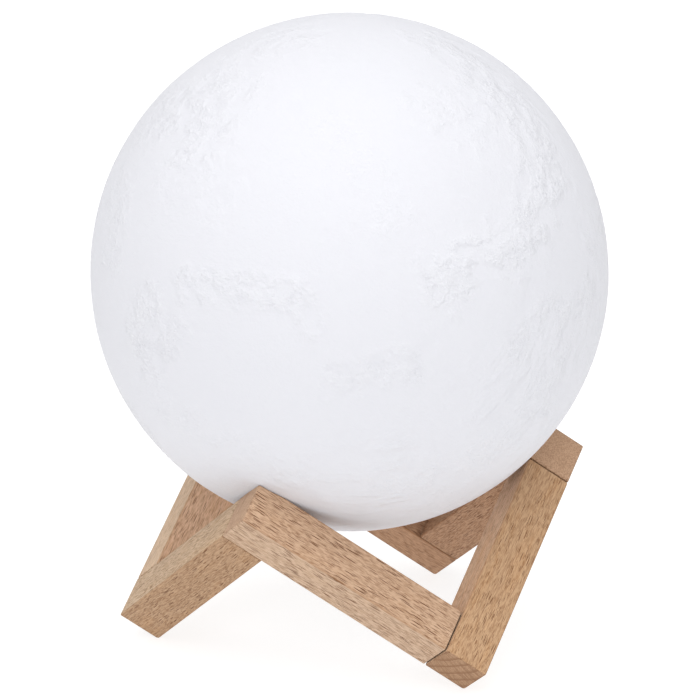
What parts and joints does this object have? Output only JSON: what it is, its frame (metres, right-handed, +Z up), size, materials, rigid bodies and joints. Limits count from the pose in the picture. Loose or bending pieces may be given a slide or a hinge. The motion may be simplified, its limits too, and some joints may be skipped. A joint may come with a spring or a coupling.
{
  "type": "moon lamp",
  "caption": "Printed moon globe lamp that lifts off a zigzag stand of square wooden bars, with a touch ring, battery and lights inside.",
  "frame": {"origin": "on the table plane, straight below the centre of the globe", "axes": "+Z up along the axis of the globe and the stand; one foot points to -X, so +Y is away from the front"},
  "size_m": [0.15, 0.15, 0.1855],
  "materials": {
    "beech": "satin, lightly sanded, pores along the grain",
    "dowel_beech": "plain turned",
    "moon_print": "matte, fine printed relief",
    "clear_glue": "cured, smooth",
    "cap_plastic": "fine satin moulding",
    "touch_steel": "brushed round",
    "barrel_plastic": "moulded",
    "screw_steel": "zinc plated",
    "board_green": "solder mask",
    "chip_black": "moulded epoxy",
    "socket_steel": "bright plated",
    "tongue_black": "moulded",
    "led_resin": "clear yellow resin",
    "pipe_clear": "polished",
    "lead_green": "smooth insulation",
    "lead_red": "smooth insulation",
    "lead_yellow": "smooth insulation",
    "connector_nylon": "moulded",
    "cell_foil": "laminated foil",
    "foam_gray": "open cell",
    "board_white": "white solder mask",
    "diffuser_milk": "milky, satin"
  },
  "bodies": {
    "stand": {"front_bar": "beech", "front_right_bar": "beech", "back_right_bar": "beech", "back_bar": "beech", "back_left_bar": "beech", "front_left_bar": "beech", "joint_dowels": "dowel_beech"},
    "globe": {"moon_shell": "moon_print", "neck_glue_bead": "clear_glue", "base_cap": "cap_plastic", "touch_ring": "touch_steel", "lamp_barrel": "barrel_plastic", "barrel_screws": "screw_steel", "control_board": "board_green", "board_screws": "screw_steel", "board_components": "chip_black", "charging_socket": "socket_steel", "socket_tongue": "tongue_black", "charge_led": "led_resin", "light_pipe": "pipe_clear", "touch_lead": "lead_green", "battery_header": "connector_nylon", "battery_plug": "connector_nylon", "battery_leads": "lead_red", "battery_cell": "cell_foil", "cell_guard_board": "board_green", "cell_foam_pads": "foam_gray", "led_board": "board_white", "led_board_screws": "screw_steel", "led_chips": "led_resin", "led_leads": "lead_yellow", "led_diffuser": "diffuser_milk"}
  },
  "joints": [
    {"name": "globe_lift", "type": "slide", "parent": "stand", "child": "globe", "axis": [0, 0, 1], "range_m": [0, 0.08]}
  ]
}
